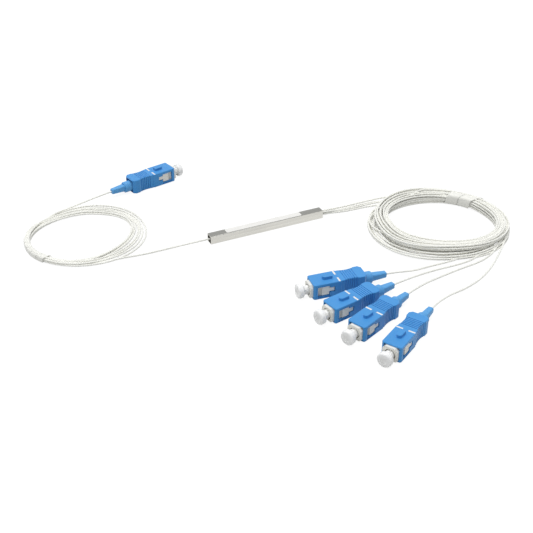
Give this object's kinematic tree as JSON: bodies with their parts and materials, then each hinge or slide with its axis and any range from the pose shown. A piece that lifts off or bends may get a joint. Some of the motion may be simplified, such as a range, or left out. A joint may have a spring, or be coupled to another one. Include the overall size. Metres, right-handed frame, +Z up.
{
  "type": "plc fibre splitter",
  "caption": "Optical splitter in a slim steel tube, its white cords wound into coils and ending in blue push-pull connectors with dust caps.",
  "frame": {"origin": "centre of the steel tube's bottom face", "axes": "+X along the tube towards the output cords, +Z up out of the label face"},
  "size_m": [0.2203, 0.1953, 0.0087],
  "materials": {
    "steel": "drawn, satin",
    "label_film": "matt film",
    "black_seal": "matt",
    "silica": "polished",
    "silicone": "soft, translucent",
    "blue_housing": "moulded, satin",
    "white_frame": "moulded, satin",
    "ferrule_ceramic": "ground and polished",
    "spring_steel": "bright",
    "nickel_plate": "plated",
    "blue_boot": "soft moulded",
    "cap_plastic": "milky, soft moulded",
    "cord_jacket": "smooth jacket",
    "wrap_plastic": "milky strip"
  },
  "bodies": {
    "root": {"steel_tube": "steel", "label": "label_film", "input_end_seal": "black_seal", "output_end_seal": "black_seal", "input_fibre_block": "silica", "splitter_chip": "silica", "output_fibre_block": "silica", "chip_bed": "silicone", "input_fibre": "silica", "output_fibre_ribbon": "silica", "input_plug_frame": "white_frame", "input_ferrule_spring": "spring_steel", "input_rear_body": "nickel_plate", "input_boot": "blue_boot", "output_1_plug_frame": "white_frame", "output_1_ferrule_spring": "spring_steel", "output_1_rear_body": "nickel_plate", "output_1_boot": "blue_boot", "output_2_plug_frame": "white_frame", "output_2_ferrule_spring": "spring_steel", "output_2_rear_body": "nickel_plate", "output_2_boot": "blue_boot", "output_3_plug_frame": "white_frame", "output_3_ferrule_spring": "spring_steel", "output_3_rear_body": "nickel_plate", "output_3_boot": "blue_boot", "output_4_plug_frame": "white_frame", "output_4_ferrule_spring": "spring_steel", "output_4_rear_body": "nickel_plate", "output_4_boot": "blue_boot", "input_cord_tail": "cord_jacket", "input_cord_lead": "cord_jacket", "output_1_cord_tail": "cord_jacket", "output_1_cord_lead": "cord_jacket", "output_2_cord_tail": "cord_jacket", "output_2_cord_lead": "cord_jacket", "output_3_cord_tail": "cord_jacket", "output_3_cord_lead": "cord_jacket", "output_4_cord_tail": "cord_jacket", "output_4_cord_lead": "cord_jacket", "input_coil": "cord_jacket", "output_coil": "cord_jacket", "input_coil_tie": "wrap_plastic", "output_coil_tie": "wrap_plastic"},
    "input_grip": {"input_grip_housing": "blue_housing"},
    "input_ferrule": {"input_ferrule": "ferrule_ceramic"},
    "input_cap": {"input_dust_cap": "cap_plastic"},
    "output_1_grip": {"output_1_grip_housing": "blue_housing"},
    "output_1_ferrule": {"output_1_ferrule": "ferrule_ceramic"},
    "output_1_cap": {"output_1_dust_cap": "cap_plastic"},
    "output_2_grip": {"output_2_grip_housing": "blue_housing"},
    "output_2_ferrule": {"output_2_ferrule": "ferrule_ceramic"},
    "output_2_cap": {"output_2_dust_cap": "cap_plastic"},
    "output_3_grip": {"output_3_grip_housing": "blue_housing"},
    "output_3_ferrule": {"output_3_ferrule": "ferrule_ceramic"},
    "output_3_cap": {"output_3_dust_cap": "cap_plastic"},
    "output_4_grip": {"output_4_grip_housing": "blue_housing"},
    "output_4_ferrule": {"output_4_ferrule": "ferrule_ceramic"},
    "output_4_cap": {"output_4_dust_cap": "cap_plastic"}
  },
  "joints": [
    {"name": "input_grip_slide", "type": "slide", "parent": "root", "child": "input_grip", "axis": [-0.9759, -0.2181, 0], "range_m": [0, 0.0018]},
    {"name": "input_ferrule_press", "type": "slide", "parent": "root", "child": "input_ferrule", "axis": [-0.9759, -0.2181, 0], "range_m": [0, 0.001], "stiffness_N_per_m": 3000, "deforming": ["input_ferrule_spring"]},
    {"name": "input_cap_pull", "type": "slide", "parent": "root", "child": "input_cap", "axis": [0.9759, 0.2181, 0], "range_m": [0, 0.01]},
    {"name": "output_1_grip_slide", "type": "slide", "parent": "root", "child": "output_1_grip", "axis": [0.9945, -0.1045, 0], "range_m": [0, 0.0018]},
    {"name": "output_1_ferrule_press", "type": "slide", "parent": "root", "child": "output_1_ferrule", "axis": [0.9945, -0.1045, 0], "range_m": [0, 0.001], "stiffness_N_per_m": 3000, "deforming": ["output_1_ferrule_spring"]},
    {"name": "output_1_cap_pull", "type": "slide", "parent": "root", "child": "output_1_cap", "axis": [-0.9945, 0.1045, 0], "range_m": [0, 0.01]},
    {"name": "output_2_grip_slide", "type": "slide", "parent": "root", "child": "output_2_grip", "axis": [0.9826, 0.1857, 0], "range_m": [0, 0.0018]},
    {"name": "output_2_ferrule_press", "type": "slide", "parent": "root", "child": "output_2_ferrule", "axis": [0.9826, 0.1857, 0], "range_m": [0, 0.001], "stiffness_N_per_m": 3000, "deforming": ["output_2_ferrule_spring"]},
    {"name": "output_2_cap_pull", "type": "slide", "parent": "root", "child": "output_2_cap", "axis": [-0.9826, -0.1857, 0], "range_m": [0, 0.01]},
    {"name": "output_3_grip_slide", "type": "slide", "parent": "root", "child": "output_3_grip", "axis": [0.9219, 0.3875, 0], "range_m": [0, 0.0018]},
    {"name": "output_3_ferrule_press", "type": "slide", "parent": "root", "child": "output_3_ferrule", "axis": [0.9219, 0.3875, 0], "range_m": [0, 0.001], "stiffness_N_per_m": 3000, "deforming": ["output_3_ferrule_spring"]},
    {"name": "output_3_cap_pull", "type": "slide", "parent": "root", "child": "output_3_cap", "axis": [-0.9219, -0.3875, 0], "range_m": [0, 0.01]},
    {"name": "output_4_grip_slide", "type": "slide", "parent": "root", "child": "output_4_grip", "axis": [0.859, 0.512, 0], "range_m": [0, 0.0018]},
    {"name": "output_4_ferrule_press", "type": "slide", "parent": "root", "child": "output_4_ferrule", "axis": [0.859, 0.512, 0], "range_m": [0, 0.001], "stiffness_N_per_m": 3000, "deforming": ["output_4_ferrule_spring"]},
    {"name": "output_4_cap_pull", "type": "slide", "parent": "root", "child": "output_4_cap", "axis": [-0.859, -0.512, 0], "range_m": [0, 0.01]}
  ]
}
